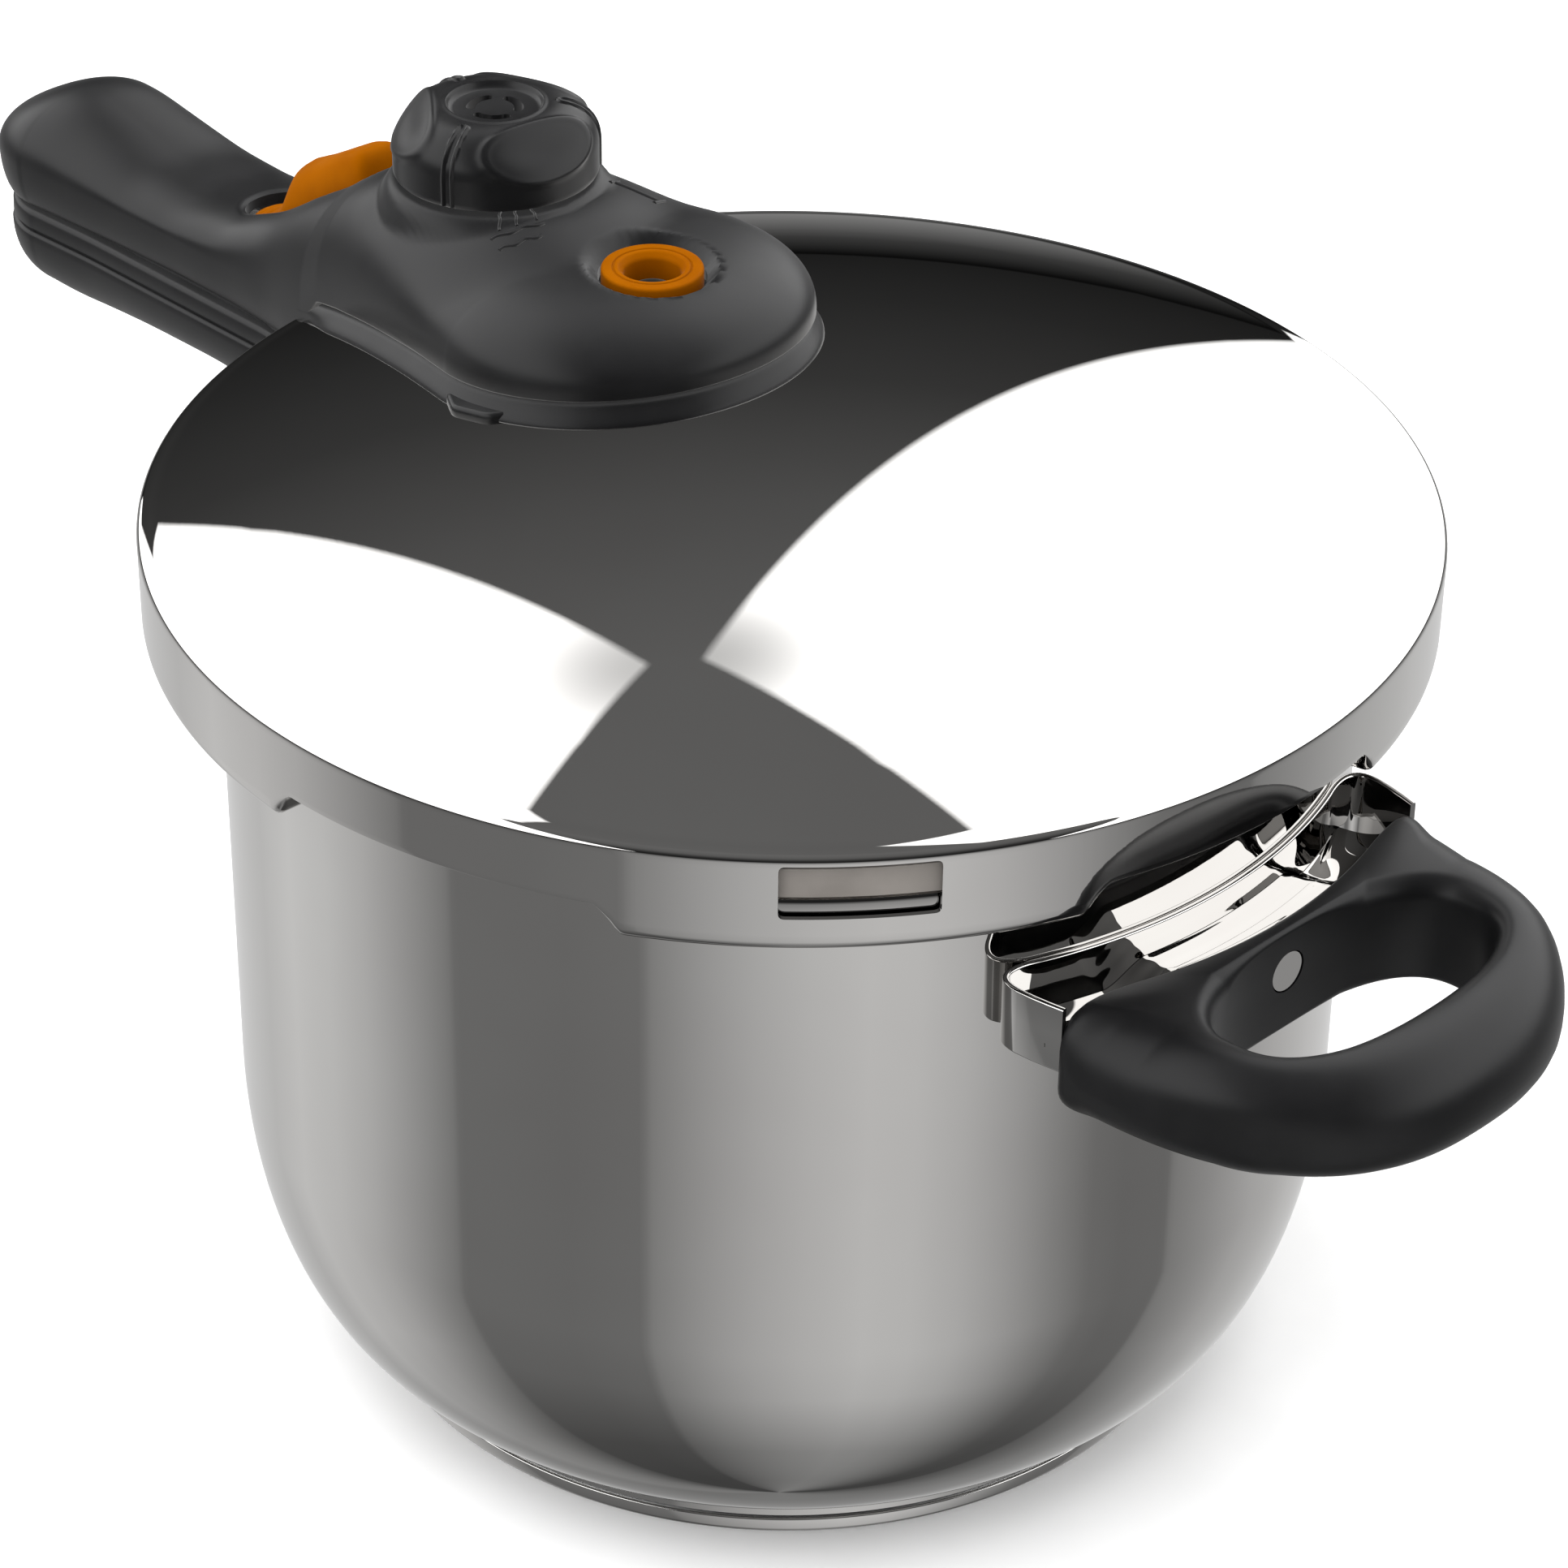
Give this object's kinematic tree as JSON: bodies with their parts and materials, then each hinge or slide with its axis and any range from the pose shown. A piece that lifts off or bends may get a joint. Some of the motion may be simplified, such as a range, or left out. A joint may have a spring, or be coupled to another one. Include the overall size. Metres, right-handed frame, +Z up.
{
  "type": "stovetop pressure cooker",
  "caption": "Steel stovetop pressure cooker with a domed bayonet lid, a long two-part handle, a regulator knob, a sliding lock and a short helper handle.",
  "frame": {"origin": "middle of the base's resting face", "axes": "+Z up; +X towards the short side handle, -X along the long handles; +Y to the left of someone looking along +X"},
  "size_m": [0.415, 0.25, 0.2386],
  "materials": {
    "polished_steel": "mirror-polished 18/10 stainless steel",
    "brushed_steel": "fine turned or brushed stainless steel",
    "aluminium": "pressed aluminium disc",
    "black_phenolic": "moulded matt black thermoset",
    "black_nylon": "moulded satin black nylon",
    "orange_nylon": "moulded satin orange nylon",
    "silicone": "matt grey silicone",
    "spring_steel": "drawn spring wire"
  },
  "bodies": {
    "pot": {"pot_body": "polished_steel", "base_core": "aluminium", "base_cap": "polished_steel", "pot_handle_bracket": "brushed_steel", "pot_handle": "black_phenolic", "pot_handle_screws": "brushed_steel", "catch_plate": "brushed_steel", "side_handle_bracket": "polished_steel", "side_handle": "black_phenolic", "side_handle_screw": "brushed_steel"},
    "seal": {"sealing_ring": "silicone"},
    "lid": {"lid_shell": "polished_steel", "handle_base": "black_phenolic", "handle_cover": "black_phenolic", "grip_plate": "black_phenolic", "grip_screws": "brushed_steel", "lid_studs": "brushed_steel", "stud_nuts": "brushed_steel", "valve_tube": "brushed_steel", "valve_tube_nut": "brushed_steel", "valve_washer": "brushed_steel", "indicator_bush": "silicone", "relief_valve_body": "brushed_steel", "relief_valve_nut": "brushed_steel", "vent_outlet": "black_nylon", "lock_spring": "spring_steel"},
    "lock": {"lock_slider": "orange_nylon", "lock_bar": "brushed_steel", "lock_pin": "brushed_steel"},
    "regulator": {"regulator_knob": "black_nylon", "regulator_insert": "brushed_steel"},
    "plunger": {"regulator_plunger": "brushed_steel", "regulator_spring": "spring_steel"},
    "indicator": {"indicator_ring": "orange_nylon", "indicator_pin": "black_nylon"},
    "relief": {"relief_plunger": "brushed_steel", "relief_spring": "spring_steel"}
  },
  "joints": [
    {"name": "lid_lift", "type": "slide", "parent": "pot", "child": "seal", "axis": [0, 0, 1], "range_m": [0, 0.12]},
    {"name": "lid_turn", "type": "hinge", "parent": "seal", "child": "lid", "pos_m": [0, 0, 0.184], "axis": [0, 0, 1], "range_deg": [0, 36]},
    {"name": "lock_slide", "type": "slide", "parent": "lid", "child": "lock", "axis": [-1, 0, 0], "range_m": [0, 0.008], "stiffness_N_per_m": 400, "springref_m": -0.004},
    {"name": "regulator_turn", "type": "hinge", "parent": "lid", "child": "regulator", "pos_m": [-0.084, 0, 0.21], "axis": [0, 0, 1], "range_deg": [-57, 18]},
    {"name": "plunger_rise", "type": "slide", "parent": "lid", "child": "plunger", "axis": [0, 0, 1], "range_m": [0, 0.0015], "stiffness_N_per_m": 600, "springref_m": -0.002, "deforming": ["regulator_spring"]},
    {"name": "indicator_rise", "type": "slide", "parent": "lid", "child": "indicator", "axis": [0, 0, 1], "range_m": [0, 0.005]},
    {"name": "relief_rise", "type": "slide", "parent": "lid", "child": "relief", "axis": [0, 0, 1], "range_m": [0, 0.0015], "stiffness_N_per_m": 800, "springref_m": -0.002, "deforming": ["relief_spring"]}
  ]
}
